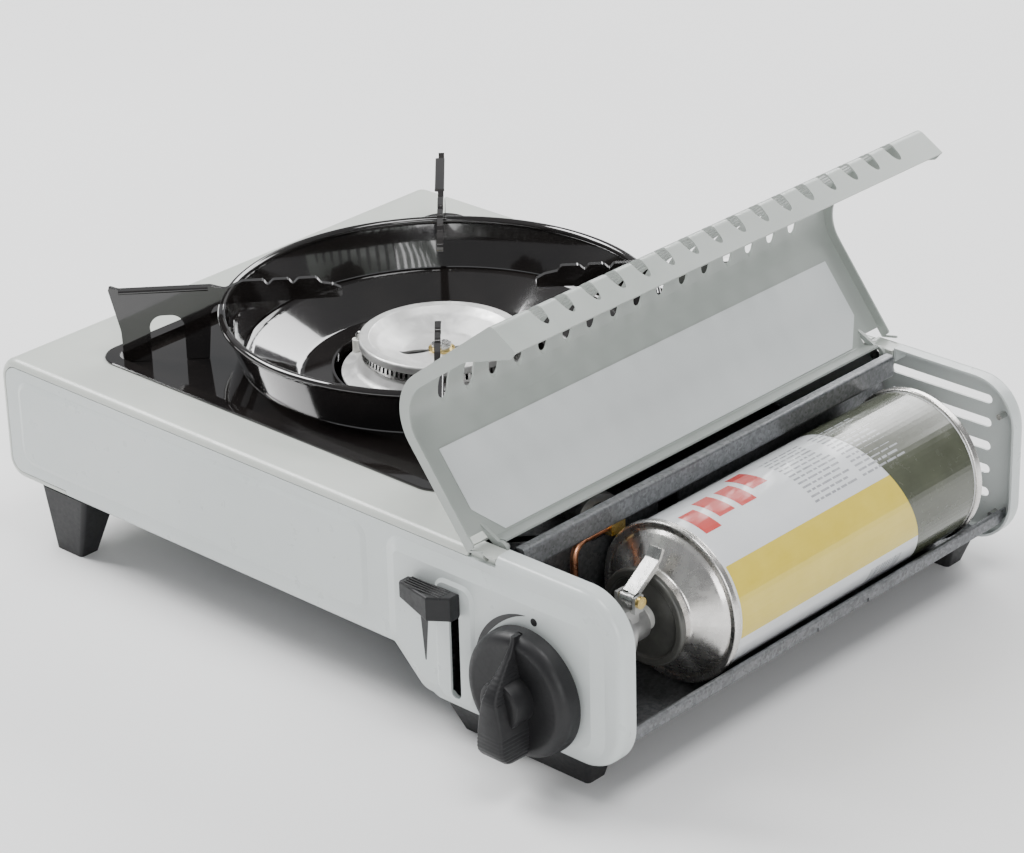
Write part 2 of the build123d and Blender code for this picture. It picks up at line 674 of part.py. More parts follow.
def make_mixing_tube():
    plane = Plane(origin=TUBE_START, z_dir=TUBE_WAY)
    length = (TUBE_END - TUBE_START).length
    tube = extrude(plane * Circle(TUBE_R), amount=length)
    bell = extrude(plane * Circle(TUBE_R + 2), amount=4)
    bore = extrude(plane * Circle(TUBE_R - 1.2), amount=length + 5)
    return tube + bell - bore - rod_z(BURNER_X, BURNER_Y, HUB_R, 40, 80)


# ---------------------------------------------------------------- igniter at the burner
def make_ceramic():
    rod = rod_z(*ELECTRODE_XY, CERAMIC_R, 62.0, 80.0)
    collar = rod_z(*ELECTRODE_XY, CERAMIC_R + 1.0, 66.0, 69.5)
    return rod + collar - rod_z(*ELECTRODE_XY, WIRE_R, 60, 90)


def make_electrode():
    """Spark wire: up through the ceramic and over towards the flame ring."""
    x, y = ELECTRODE_XY
    inward = Vector(-math.cos(ELECTRODE_ANGLE), -math.sin(ELECTRODE_ANGLE), 0)
    foot = Vector(x, y, 60.0)
    bend = Vector(x, y, 83.2)
    path = FilletPolyline(foot, bend, bend + inward * 4.2, radius=1.6)
    return sweep(Plane(origin=foot, z_dir=(0, 0, 1)) * Circle(WIRE_R), path=path)


def make_piezo():
    body = rod_y(*PIEZO_XZ, 5.2, 12.0, 34.0)
    nose = rod_y(*PIEZO_XZ, 3.4, 34.0, 40.0)
    button = rod_y(*PIEZO_XZ, 3.0, 8.6, 12.0)
    return body + nose + button


def make_igniter_lead():
    """Insulated wire from the piezo unit to the foot of the electrode."""
    x, z = PIEZO_XZ
    start = Vector(x, 40.0, z)
    points = [start, Vector(x, 58.0, z), Vector(x - 60, 66.0, 40.0), Vector(*ELECTRODE_XY, 40.0),
              Vector(*ELECTRODE_XY, 60.0)]
    path = FilletPolyline(*points, radius=[8.0, 14.0, 9.0])
    return sweep(Plane(origin=start, z_dir=(0, 1, 0)) * Circle(LEAD_R), path=path)


# ---------------------------------------------------------------- gas valve and knob
def make_valve_body():
    body = rod_y(KNOB_X, KNOB_Z, VALVE_R, *VALVE_Y)
    arm = rod_y(CAN_X, CAN_Z, 11.0, 20, VALVE_Y[1])
    seat = rod_y(CAN_X, CAN_Z, SEAT_R, VALVE_Y[1], SEAT_Y)
    collar = rod_y(CAN_X, CAN_Z, SEAT_R + 1.6, VALVE_Y[1], VALVE_Y[1] + 3)
    lug = block(CATCH_X - 3, CATCH_X + 3, VALVE_Y[1] - 6, PIVOT_Y + 2.4, CAN_Z + 5, PIVOT_Z - 3.2)
    ears = [block(x, x + 1.4, PIVOT_Y - 2.4, PIVOT_Y + 2.4, PIVOT_Z - 4, PIVOT_Z + 2.2)
            for x in (CATCH_X - CATCH_WIDTH / 2 - 1.9, CATCH_X + CATCH_WIDTH / 2 + 0.5)]
    base = block(CATCH_X - CATCH_WIDTH / 2 - 1.9, CATCH_X + CATCH_WIDTH / 2 + 1.9,
                 PIVOT_Y - 2.4, PIVOT_Y + 2.4, PIVOT_Z - 4.6, PIVOT_Z - 3.2)
    valve = body + arm + seat + collar + lug + ears[0] + ears[1] + base
    valve -= rod_y(CAN_X, CAN_Z, STEM_R + 0.6, SEAT_Y - 9, SEAT_Y + 1)
    valve -= rod_x(PIVOT_Y, PIVOT_Z, PIVOT_R, CATCH_X - 10, CATCH_X + 10)
    return valve - rod_y(KNOB_X, KNOB_Z, SPINDLE_R + 0.4, VALVE_Y[0] - 1, VALVE_Y[0] + 14)


def make_valve_cover():
    cover = rod_y(KNOB_X, KNOB_Z, 13.2, VALVE_Y[0] - 1.6, VALVE_Y[0])
    return cover - rod_y(KNOB_X, KNOB_Z, SPINDLE_R + 0.4, 0, 40)


def make_valve_bracket():
    """Pressed bracket that carries the gas valve on the floor of the gas box."""
    x0, x1 = 279.5, 324.5
    y0, y1 = VALVE_Y[0] - 3.0, VALVE_Y[0] - 1.8
    z = TRAY_TOP + 1.2
    plate = block(x0, x1, y0, y1, z, 60.0) - rod_y(KNOB_X, KNOB_Z, 9.0, 0, 20)
    foot = block(x0, x1, y0, VALVE_Y[1] - 8, TRAY_TOP, z)
    cheeks = [block(x, x + 1.2, y1, VALVE_Y[1] - 8, z, 34.0) for x in (x0, x1 - 1.2)]
    hook = block(x0 + 1.5, x0 + 11.5, y0, VALVE_Y[1] + 4, 60.0, 61.2)
    return plate + foot + cheeks[0] + cheeks[1] + hook


def make_knob_sleeve():
    sleeve = rod_y(KNOB_X, KNOB_Z, SLEEVE_R, KNOB_DISC + 1.5, 5.0)
    return sleeve - rod_y(KNOB_X, KNOB_Z, SPINDLE_R + PIN_RUNNING_GAP, -20, 20)


def make_knob_spring():
    coil = rod_y(KNOB_X, KNOB_Z, 5.2, 5.05, VALVE_Y[0] - 3.05)
    return coil - rod_y(KNOB_X, KNOB_Z, 4.2, 0, 20)


def make_valve_spindle():
    """Round spindle with a flat, so that the knob turns it."""
    shaft = rod_y(KNOB_X, KNOB_Z, SPINDLE_R, SPINDLE_FRONT, VALVE_Y[0] + 9.0)
    flat = block(KNOB_X - 5, KNOB_X + 5, SPINDLE_FRONT - 1, KNOB_DISC, KNOB_Z + 1.9, KNOB_Z + 5)
    return shaft - flat


def make_knob():
    disc = turned_y([(0, KNOB_DISC, 0), (KNOB_R - 4.2, KNOB_DISC, 2.6), (KNOB_R - 0.2, KNOB_BASE - 2.6, 2.0),
                     (KNOB_R, KNOB_BASE, 0), (0, KNOB_BASE, 0)], KNOB_X, KNOB_Z)
    grip = [(-1.6, 25.6, 1.0), (-4.4, 12.0, 12), (-7.0, -8.0, 16), (-6.8, -23.4, 6.4),
            (6.8, -23.4, 6.4), (7.0, -8.0, 16), (4.4, 12.0, 12), (1.6, 25.6, 1.0)]
    crest = [(u * 0.8, v * 0.97, c * 0.8) for u, v, c in grip]
    low = Plane.XZ.offset(-(KNOB_DISC + 1.0)) * face_of(grip)
    high = Plane.XZ.offset(KNOB_REACH) * face_of(crest)
    bar = Pos(KNOB_X, 0, KNOB_Z) * loft([low, high])
    hub = rod_y(KNOB_X, KNOB_Z, 10.0, -21.5, KNOB_DISC)
    knob = disc + bar + hub
    hollow = [(SLEEVE_R + 2, KNOB_BASE, 0), (SLEEVE_R + 2, KNOB_DISC + 2.0, 0),
              (KNOB_R - 4.4, KNOB_DISC + 2.0, 1.5), (KNOB_R - 2.0, KNOB_BASE, 0)]
    knob -= turned_y(hollow, KNOB_X, KNOB_Z)
    knob -= rod_y(KNOB_X, KNOB_Z, SLEEVE_R + PIN_RUNNING_GAP, KNOB_DISC + 1.2, 5)
    return knob - rod_y(KNOB_X, KNOB_Z, SPINDLE_R, SPINDLE_FRONT, 5)


def make_gas_jet():
    block_body = block(JET_X, JET_X + 5.5, 66.5, 74.5, 67.5, 73.0)
    nozzle = extrude(Plane(origin=(JET_X, 71.8, 70.0), z_dir=TUBE_WAY) * Circle(2.6), amount=5.6)
    return block_body + nozzle


def make_gas_pipe():
    """Bent copper pipe from the valve to the jet."""
    x = JET_X + 2.6
    start = Vector(KNOB_X - VALVE_R, 28.0, KNOB_Z)
    points = [start, Vector(x, 28.0, KNOB_Z), Vector(x, 48.0, KNOB_Z), Vector(x, 48.0, 70.4),
              Vector(x, 66.5, 70.4)]
    path = FilletPolyline(*points, radius=[4.0, 6.0, 6.0])
    return sweep(Plane(origin=start, z_dir=(-1, 0, 0)) * Circle(PIPE_R), path=path)


def make_catch_lever():
    """Catch that hooks over the rim of the cartridge, drawn along its own slope from the pivot."""
    half = CATCH_WIDTH / 2
    barrel = rod_x(PIVOT_Y, PIVOT_Z, 2.4, CATCH_X - half, CATCH_X + half)
    line = [(PIVOT_Y, PIVOT_Z + 2.3, 0), (PIVOT_Y + 13.6, PIVOT_Z + 11.4, 1.5),
            (PIVOT_Y + 15.6, PIVOT_Z + 15.2, 0)]
    plate = along_x(ribbon(line, -1.4), CATCH_X - half, CATCH_X + half)
    web_line = [(PIVOT_Y + 0.6, PIVOT_Z + 2.0, 0), (PIVOT_Y + 12.6, PIVOT_Z + 10.0, 0)]
    webs = [along_x(ribbon(web_line, -1.8), x, x + 1.0) for x in (CATCH_X - half, CATCH_X + half - 1.0)]
    lever = barrel + plate + webs[0] + webs[1]
    lever -= rod_x(PIVOT_Y, PIVOT_Z, 2.6, CATCH_X - half - 0.1, CATCH_X - 0.2)
    return lever - rod_x(PIVOT_Y, PIVOT_Z, PIVOT_R + PIN_RUNNING_GAP, CATCH_X - 10, CATCH_X + 10)


def make_catch_spring():
    """Return spring on the left half of the pivot."""
    coil = rod_x(PIVOT_Y, PIVOT_Z, 2.1, CATCH_X - CATCH_WIDTH / 2, CATCH_X - 0.3)
    return coil - rod_x(PIVOT_Y, PIVOT_Z, PIVOT_R, CATCH_X - 10, CATCH_X + 10)


def make_catch_pin():
    """Pivot screw of the catch, with a round head on the open side."""
    half = CATCH_WIDTH / 2 + 1.9
    shaft = rod_x(PIVOT_Y, PIVOT_Z, PIVOT_R, CATCH_X - half - 0.6, CATCH_X + half)
    head = rod_x(PIVOT_Y, PIVOT_Z, PIVOT_R + 1.2, CATCH_X + half, CATCH_X + half + 1.4)
    return shaft + head


# ---------------------------------------------------------------- lock lever and cartridge carriage
def make_lock_grip():
    """Finger grip with a forward ridge, growing from its left end to the ridge above the slot."""
    back = PAD_FACE - 0.6
    z0, z1 = GRIP_Z
    stations = [
        (SLOT_X - 22.0, -9.2, z0 + 1.6, z1 - 1.2),
        (SLOT_X - 3.6, -14.0, z0, z1),
        (SLOT_X + 3.8, -8.6, z0, z1),
    ]
    rings = []
    for x, front, low, high in stations:
        rings.append(Plane.YZ.offset(x) * face_of(rectangle(front, back, low, high, 1.0)))
    return loft(rings, ruled=True)


def make_lock_plate():
    """Steel tongue through the slot, with its slide plate behind the panel."""
    blade = block(SLOT_X - BLADE[0] / 2, SLOT_X + BLADE[0] / 2, PAD_FACE - 0.6, 3.0,
                  BLADE_TOP - BLADE[1], BLADE_TOP)
    plate = block(SLOT_X - 6.5, SLOT_X + 6.5, 1.8, 3.0, BLADE_TOP - 11.0, BLADE_TOP + 1.0)
    return blade + plate


def make_slot_guide():
    """White guide block behind the low end of the slot."""
    guide = block(SLOT_X - 5.0, SLOT_X + 5.0, 5.0, 8.0, TRAY_TOP + 0.9, TRAY_TOP + 12.0)
    foot = block(SLOT_X - 5.0, SLOT_X + 5.0, 5.0, 14.0, TRAY_TOP, TRAY_TOP + 0.9)
    return guide + foot


def make_carriage():
    """Sliding carriage beside the cartridge, with a tongue to the lock lever and a stop at the base."""
    z0, z1 = TRAY_TOP + 0.3, TRAY_TOP + 1.5
    rail = block(281.5, 294.0, 31.0, 226.0, z0, z1)
    tongue = block(257.0, 281.5, *TONGUE_Y, z0, z1)
    stop_y = CAN_BACK_Y + 1.9
    stop = block(283.0, 322.0, stop_y, stop_y + 1.2, z1, 44.0)
    stop_foot = block(294.0, 302.0, stop_y - 3, stop_y + 1.2, z0, z1)
    link = block(283.0, 294.0, stop_y, stop_y + 1.2, z0, z1)
    return rail + tongue + stop + stop_foot + link


# ---------------------------------------------------------------- cartridge
def make_can_body():
    tube = rod_y(CAN_X, CAN_Z, CAN_R, CAN_FRONT_Y, CAN_BACK_Y - 2.0)
    return tube - rod_y(CAN_X, CAN_Z, CAN_R - 0.8, CAN_FRONT_Y - 1, CAN_BACK_Y)


def make_can_dome():
    front = COLLAR_Y[1]
    seam_top = CAN_FRONT_Y - 1.6
    corners = [(8.0, front, 0), (18.4, front, 0), (18.4, front + 4.2, 1.5), (28.6, front + 11.8, 3),
               (30.0, seam_top + 0.6, 0), (30.6, seam_top, 0), (CAN_SEAM_R, seam_top, 0.9),
               (CAN_SEAM_R, CAN_FRONT_Y + 1.8, 0.9), (CAN_R, CAN_FRONT_Y + 1.8, 0), (CAN_R, CAN_FRONT_Y, 0),
               (CAN_R - 2.4, CAN_FRONT_Y, 0), (CAN_R - 2.4, front + 13.4, 0), (17.6, front + 6.0, 1.5),
               (17.4, front + 1.0, 0), (8.0, front + 1.0, 0)]
    return turned_y(corners, CAN_X, CAN_Z)


def make_can_collar():
    y0, y1 = COLLAR_Y
    corners = [(5.4, y0 + 1.6, 0), (16.8, y0 + 1.6, 1), (16.8, y0, 0.6), (20.0, y0, 1.2), (20.0, y1, 0.8),
               (8.2, y1, 0), (5.4, y1 - 0.6, 0)]
    return turned_y(corners, CAN_X, CAN_Z)


def make_can_stem():
    stem = rod_y(CAN_X, CAN_Z, STEM_R, COLLAR_Y[0] - 0.4, COLLAR_Y[1] + 4)
    return stem + rod_y(CAN_X, CAN_Z, 5.35, COLLAR_Y[0] + 1.8, COLLAR_Y[1] + 3)


def make_can_base():
    y = CAN_BACK_Y
    corners = [(0, y - 5.0, 0), (25.0, y - 4.0, 6), (29.6, y + 1.4, 1), (30.6, y + 1.6, 0), (CAN_SEAM_R, y + 1.6, 0.9),
               (CAN_SEAM_R, y - 2.0, 0.9), (CAN_R - 1.6, y - 2.0, 0), (CAN_R - 2.6, y - 1.0, 0),
               (CAN_R - 3.6, y - 2.2, 0), (26.0, y - 5.0, 5), (0, y - 6.0, 0)]
    return turned_y(corners[::-1], CAN_X, CAN_Z)


# ---------------------------------------------------------------- feet and screws
def taper(bottom, top, z_bottom, z_top, r_bottom, r_top):
    """Tapered moulding between two rectangles given as (x0, x1, y0, y1)."""
    low = Pos(0, 0, z_bottom) * face_of(rectangle(*bottom, r_bottom))
    high = Pos(0, 0, z_top) * face_of(rectangle(*top, r_top))
    return loft([low, high])


def drilled(solid):
    """Solid with clearance holes for the foot screws."""
    for x, y in TALL_SCREWS + LOW_SCREWS:
        solid -= rod_z(x, y, SCREW_R + SCREW_CLEARANCE, -1, 40)
    return solid


def make_tall_foot():
    foot = taper((22.8, 38.7, 4.0, 14.0), (19.0, 47.0, 1.4, 22.0), 0, BURNER_BOX_UNDERSIDE, 1.6, 2.4)
    x, y = TALL_SCREWS[0]
    return foot - rod_z(x, y, SCREW_HEAD_R + 0.4, -1, 5.0) - rod_z(x, y, SCREW_R + SCREW_CLEARANCE, -1, 40)


def make_skid():
    foot = taper((259.0, 323.0, 7.3, 17.7), (254.0, 327.0, 2.4, 20.0), 0, GAS_BOX_UNDERSIDE, 1.8, 2.4)
    pad = block(256.0, 325.0, PANEL_RETURN + GAP, 19.0, GAS_BOX_UNDERSIDE - 0.1, TRAY_TOP - THIN_SHEET)
    foot = foot + pad
    for x, y in LOW_SCREWS[:2]:
        foot -= rod_z(x, y, SCREW_HEAD_R + 0.4, -1, 5.0) + rod_z(x, y, SCREW_R + SCREW_CLEARANCE, -1, 40)
    return foot


def make_foot_screws():
    tall_top = BURNER_BOX_UNDERSIDE + 2 * SHEET + 1.6
    tall = [rod_z(x, y, SCREW_HEAD_R, 2.6, 5.0) + rod_z(x, y, SCREW_R, 5.0, tall_top) for x, y in TALL_SCREWS]
    low = [rod_z(x, y, SCREW_HEAD_R, 2.6, 5.0) + rod_z(x, y, SCREW_R, 5.0, TRAY_TOP) for x, y in LOW_SCREWS]
    return tall + low


def make_back_screws():
    screws = []
    for x, z in BACK_SCREWS:
        head = rod_y(x, z, 2.4, BODY_DEPTH, BODY_DEPTH + 1.3)
        screws.append(head + rod_y(x, z, 1.3, BODY_DEPTH - 5.0, BODY_DEPTH))
    return screws


# ---------------------------------------------------------------- all nodes
def build_all():
    keep("top_plate", drilled(make_top_plate()))
    keep("front_panel", make_front_panel())
    keep("back_panel", make_back_panel())
    keep("burner_underplate", make_underplate())
    keep("gas_tray", make_gas_tray())
    keep("heat_shield", make_heat_shield())
    keep("hinge_channel", make_hinge_channel())
    keep("hinge_lug_front", make_hinge_lug())
    keep("hinge_lug_back", to_back(make_hinge_lug()))
    keep("hinge_pin_front", make_hinge_pin())
    keep("hinge_pin_back", to_back(make_hinge_pin()))
    keep("foot_front_left", make_tall_foot())
    keep("foot_back_left", to_back(make_tall_foot()))
    keep("skid_front_right", make_skid())
    keep("skid_back_right", to_back(make_skid()))
    keep("foot_screws", *make_foot_screws())
    keep("back_screws", *make_back_screws())
    keep("lid_panel", make_lid_panel())
    keep("lid_label", make_lid_label())
    keep("drip_pan", make_drip_pan())
    keep("support_ring", make_support_ring())
    for i, angle in enumerate(ARM_ANGLES, start=1):
        keep(f"support_arm_{i}", make_support_arm(angle))
    keep("burner_body", make_burner_body())
    keep("flame_ring", make_flame_ring())
    keep("burner_bowl", make_burner_bowl())
    keep("burner_screw", make_burner_screw())
    keep("burner_washer", make_burner_washer())
    keep("mixing_tube", make_mixing_tube())
    keep("igniter_ceramic", make_ceramic())
    keep("igniter_electrode", make_electrode())
    keep("piezo_unit", make_piezo())
    keep("igniter_lead", make_igniter_lead())
    keep("gas_jet", make_gas_jet())
    keep("gas_pipe", make_gas_pipe())
    keep("valve_body", make_valve_body())
    keep("valve_cover", make_valve_cover())
    keep("valve_bracket", make_valve_bracket())
    keep("valve_spindle", make_valve_spindle())
    keep("knob", make_knob())
    keep("knob_sleeve", make_knob_sleeve())
    keep("knob_spring", make_knob_spring())
    keep("catch_lever", make_catch_lever())
    keep("catch_pin", make_catch_pin())
    keep("catch_spring", make_catch_spring())
    keep("lock_grip", make_lock_grip())
    keep("lock_plate", make_lock_plate())
    keep("slot_guide", make_slot_guide())
    keep("cartridge_carriage", make_carriage())
    keep("cartridge_body", make_can_body())
    keep("cartridge_dome", make_can_dome())
    keep("cartridge_collar", make_can_collar())
    keep("cartridge_stem", make_can_stem())
    keep("cartridge_base", make_can_base())


def write_all():
    os.makedirs("parts", exist_ok=True)
    for name, solids in parts.items():
        shape = solids[0] if len(solids) == 1 else Compound(children=solids)
        export_step(Pos(*ORIGIN_SHIFT) * shape, f"parts/{name}.step")


build_all()
write_all()
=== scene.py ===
import bmesh
import bpy
import math
import random
from mathutils import Matrix, Vector
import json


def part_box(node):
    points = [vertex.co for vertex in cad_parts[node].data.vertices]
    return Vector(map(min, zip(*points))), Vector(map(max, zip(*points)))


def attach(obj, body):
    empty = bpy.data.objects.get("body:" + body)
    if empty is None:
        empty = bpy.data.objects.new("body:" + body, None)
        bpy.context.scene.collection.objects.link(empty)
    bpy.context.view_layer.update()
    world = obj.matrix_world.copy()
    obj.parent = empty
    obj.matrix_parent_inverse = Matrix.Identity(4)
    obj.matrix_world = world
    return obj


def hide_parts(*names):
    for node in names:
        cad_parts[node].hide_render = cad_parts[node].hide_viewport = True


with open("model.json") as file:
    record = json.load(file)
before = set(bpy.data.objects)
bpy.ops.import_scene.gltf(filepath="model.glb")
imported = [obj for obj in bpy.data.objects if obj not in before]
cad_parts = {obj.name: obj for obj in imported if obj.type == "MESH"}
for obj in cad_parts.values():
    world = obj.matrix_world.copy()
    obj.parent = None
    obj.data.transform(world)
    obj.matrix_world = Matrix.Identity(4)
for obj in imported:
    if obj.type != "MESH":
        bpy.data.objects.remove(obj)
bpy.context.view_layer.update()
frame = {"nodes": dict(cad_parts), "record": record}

MM = 0.001
LEFT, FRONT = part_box("top_plate")[0][:2]


def at(x, y, z):
    """Row-frame point from millimetres right of the left wall, behind the front face and above the ground."""
    return Vector((LEFT + x * MM, FRONT + y * MM, z * MM))


# ------------------------------------------------------------------ materials
def mix(tree, factor, low, high):
    """Blend of two colours by a factor socket."""
    node = tree.nodes.new("ShaderNodeMix")
    node.data_type = "RGBA"
    node.inputs["A"].default_value = (*low, 1)
    node.inputs["B"].default_value = (*high, 1)
    tree.links.new(factor, node.inputs["Factor"])
    return node.outputs["Result"]


def ranged(tree, value, from_low, from_high, to_low, to_high):
    """Value mapped from one range to another."""
    node = tree.nodes.new("ShaderNodeMapRange")
    for name, number in (("From Min", from_low), ("From Max", from_high), ("To Min", to_low), ("To Max", to_high)):
        node.inputs[name].default_value = number
    tree.links.new(value, node.inputs["Value"])
    return node.outputs["Result"]


def noise(tree, coords, scale, detail=4.0, roughness=0.55):
    node = tree.nodes.new("ShaderNodeTexNoise")
    node.inputs["Scale"].default_value = scale
    node.inputs["Detail"].default_value = detail
    node.inputs["Roughness"].default_value = roughness
    tree.links.new(coords, node.inputs["Vector"])
    return node.outputs["Fac"]


def cells(tree, coords, scale):
    """Random grey per cell, for the spangle of zinc."""
    node = tree.nodes.new("ShaderNodeTexVoronoi")
    node.inputs["Scale"].default_value = scale
    tree.links.new(coords, node.inputs["Vector"])
    return node.outputs["Color"]


def finish_of(name, dark, light, rough, metal=0.0, coat=0.0, coat_rough=0.1, blotch=25.0, grain=900.0,
              relief=0.00002, stretch=(1, 1, 1), spangle=0.0, specular=0.5):
    """Procedural finish: cloudy colour, uneven gloss and a fine surface relief, in metres."""
    material = bpy.data.materials.new(name)
    material.use_nodes = True
    tree = material.node_tree
    shader = tree.nodes["Principled BSDF"]
    place = tree.nodes.new("ShaderNodeTexCoord").outputs["Object"]
    stretched = tree.nodes.new("ShaderNodeMapping")
    stretched.inputs["Scale"].default_value = stretch
    tree.links.new(place, stretched.inputs["Vector"])
    grained = stretched.outputs["Vector"]
    cloud = ranged(tree, noise(tree, place, blotch), 0.3, 0.7, 0.0, 1.0)
    if spangle:
        cloud = ranged(tree, cells(tree, place, spangle), 0.1, 0.9, 0.0, 1.0)
    tree.links.new(mix(tree, cloud, dark, light), shader.inputs["Base Color"])
    worn = noise(tree, grained, grain * 0.2, detail=6.0)
    tree.links.new(ranged(tree, worn, 0.3, 0.7, rough[0], rough[1]), shader.inputs["Roughness"])
    bump = tree.nodes.new("ShaderNodeBump")
    bump.inputs["Distance"].default_value = relief
    bump.inputs["Strength"].default_value = 1.0
    tree.links.new(noise(tree, grained, grain), bump.inputs["Height"])
    tree.links.new(bump.outputs["Normal"], shader.inputs["Normal"])
    shader.inputs["Metallic"].default_value = metal
    shader.inputs["Coat Weight"].default_value = coat
    shader.inputs["Coat Roughness"].default_value = coat_rough
    shader.inputs["Specular IOR Level"].default_value = specular
    return material


FINISHES = {
    "body_paint": finish_of("body_paint", (0.60, 0.645, 0.635), (0.66, 0.70, 0.69), (0.26, 0.38), coat=0.35,
                            coat_rough=0.2, blotch=14, grain=700, relief=0.000012),
    "top_paint": finish_of("top_paint", (0.52, 0.55, 0.51), (0.58, 0.605, 0.565), (0.28, 0.40), coat=0.3,
                           coat_rough=0.18, blotch=14, grain=700, relief=0.000012),
    # lid_paint is the top's paint made darker: painted shade, standing in for the shaded inner face of the lid
    "lid_paint": finish_of("lid_paint", (0.36, 0.39, 0.365), (0.41, 0.44, 0.415), (0.30, 0.42), coat=0.25,
                           coat_rough=0.2, blotch=16, grain=700, relief=0.000014),
    "galvanised": finish_of("galvanised", (0.15, 0.155, 0.16), (0.25, 0.255, 0.265), (0.38, 0.54), metal=0.85,
                            blotch=60, grain=500, relief=0.00001, spangle=900),
    "plated_steel": finish_of("plated_steel", (0.50, 0.50, 0.49), (0.68, 0.68, 0.66), (0.18, 0.34), metal=1.0,
                              blotch=120, grain=1500, relief=0.000008, stretch=(1, 0.15, 1)),
    "black_enamel": finish_of("black_enamel", (0.006, 0.005, 0.005), (0.014, 0.012, 0.011), (0.05, 0.12),
                              coat=1.0, coat_rough=0.04, blotch=30, grain=160, relief=0.00002, specular=0.6),
    "cast_alloy": finish_of("cast_alloy", (0.58, 0.58, 0.57), (0.74, 0.74, 0.73), (0.36, 0.55), metal=0.75,
                            blotch=90, grain=1300, relief=0.00003),
    "zinc_alloy": finish_of("zinc_alloy", (0.40, 0.40, 0.39), (0.56, 0.56, 0.55), (0.3, 0.5), metal=0.85,
                            blotch=110, grain=1200, relief=0.00003),
    "brass": finish_of("brass", (0.55, 0.40, 0.13), (0.78, 0.60, 0.24), (0.2, 0.36), metal=1.0, blotch=200,
                       grain=1500, relief=0.000006),
    "copper": finish_of("copper", (0.50, 0.20, 0.10), (0.80, 0.38, 0.22), (0.22, 0.4), metal=1.0, blotch=140,
                        grain=1300, relief=0.000006),
    "charcoal_plastic": finish_of("charcoal_plastic", (0.008, 0.008, 0.009), (0.014, 0.014, 0.015),
                                  (0.40, 0.54), blotch=80, grain=2600, relief=0.00002, specular=0.36),
    "white_plastic": finish_of("white_plastic", (0.74, 0.74, 0.71), (0.82, 0.82, 0.79), (0.26, 0.36), blotch=70,
                               grain=1600, relief=0.000006),
    "ceramic_white": finish_of("ceramic_white", (0.74, 0.73, 0.68), (0.84, 0.83, 0.79), (0.10, 0.2), coat=0.6,
                               blotch=90, grain=900, relief=0.000006),
    "lead_rubber": finish_of("lead_rubber", (0.012, 0.012, 0.012), (0.022, 0.022, 0.022), (0.5, 0.65), blotch=120,
                             grain=2400, relief=0.00001),
    "label_paper": finish_of("label_paper", (0.72, 0.75, 0.75), (0.78, 0.81, 0.81), (0.16, 0.26), coat=0.35,
                             coat_rough=0.12, blotch=18, grain=500, relief=0.000008),
    "can_print": finish_of("can_print", (0.74, 0.76, 0.78), (0.80, 0.82, 0.84), (0.16, 0.26), coat=0.8,
                           coat_rough=0.1, blotch=40, grain=900, relief=0.000006),
    "tinplate": finish_of("tinplate", (0.66, 0.64, 0.61), (0.84, 0.82, 0.79), (0.2, 0.34), metal=1.0, blotch=45,
                          grain=1400, relief=0.000006, stretch=(1, 0.1, 1)),
    "collar_grey": finish_of("collar_grey", (0.07, 0.07, 0.066), (0.11, 0.11, 0.10), (0.28, 0.42), metal=0.3,
                             blotch=120, grain=1400, relief=0.00001),
}
INKS_AND_SHADE = {
    # the black ink also colours the painted shadow crescent around the knob
    "black_ink_and_shade": finish_of("black_ink_and_shade", (0.010, 0.010, 0.011), (0.018, 0.018, 0.019), (0.3, 0.42), blotch=300,
                           grain=2000, relief=0.000004),
    "ink_yellow": finish_of("ink_yellow", (0.72, 0.56, 0.06), (0.80, 0.63, 0.09), (0.16, 0.26), coat=0.7,
                            blotch=60, grain=1200, relief=0.000004),
    "ink_olive": finish_of("ink_olive", (0.060, 0.066, 0.042), (0.082, 0.090, 0.058), (0.18, 0.3), coat=0.7,
                           blotch=60, grain=1200, relief=0.000004),
    "ink_red": finish_of("ink_red", (0.58, 0.05, 0.045), (0.68, 0.07, 0.06), (0.16, 0.26), coat=0.7, blotch=80,
                         grain=1200, relief=0.000004),
    "ink_grey": finish_of("ink_grey", (0.30, 0.31, 0.33), (0.42, 0.43, 0.45), (0.2, 0.3), coat=0.6, blotch=400,
                          grain=1200, relief=0.000004),
}


def dress_cad():
    """Every CAD node gets its own slot's finish, and the support arms, lever grip and feet get softened edges."""
    slots = {s["node"]: s["material_slot"] for s in frame["record"]["subparts"]}
    for node, part in frame["nodes"].items():
        part.data.materials.clear()
        part.data.materials.append(FINISHES[slots[node]])
    for node in ("support_arm_1", "support_arm_2", "support_arm_3", "support_arm_4"):
        soften(node, 0.0006)
    for node in ("lock_grip", "foot_front_left", "foot_back_left", "skid_front_right", "skid_back_right"):
        soften(node, 0.0005)


# ------------------------------------------------------------------ mesh pieces
def mesh_piece(name, build, material, body):
    """New mesh object filled by build(bm), with a finish, riding on a CAD body."""
    bm = bmesh.new()
    build(bm)
    bmesh.ops.recalc_face_normals(bm, faces=bm.faces)
    mesh = bpy.data.meshes.new(name)
    bm.to_mesh(mesh)
    bm.free()
    piece = bpy.data.objects.new(name, mesh)
    bpy.context.scene.collection.objects.link(piece)
    mesh.materials.append(material)
    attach(piece, body)
    return piece


def add_prism(bm, outline, push):
    """Prism from a closed outline of points and a push vector."""
    near = [bm.verts.new(p) for p in outline]
    far = [bm.verts.new(p + push) for p in outline]
    bm.faces.new(near)
    bm.faces.new(far[::-1])
    count = len(outline)
    for i in range(count):
        j = (i + 1) % count
        bm.faces.new((near[i], near[j], far[j], far[i]))


def arc(cx, cz, radius, start, end, steps):
    """Points of an arc in X and Z, with angles in degrees from +X."""
    angles = [math.radians(start + (end - start) * i / steps) for i in range(steps + 1)]
    return [(cx + radius * math.cos(a), cz + radius * math.sin(a)) for a in angles]


# printed marks and a painted shadow of the knob on the front panel, in millimetres
FIELD_Y = -1.9
PRINT_AND_SHADOW_DEPTH = 0.05
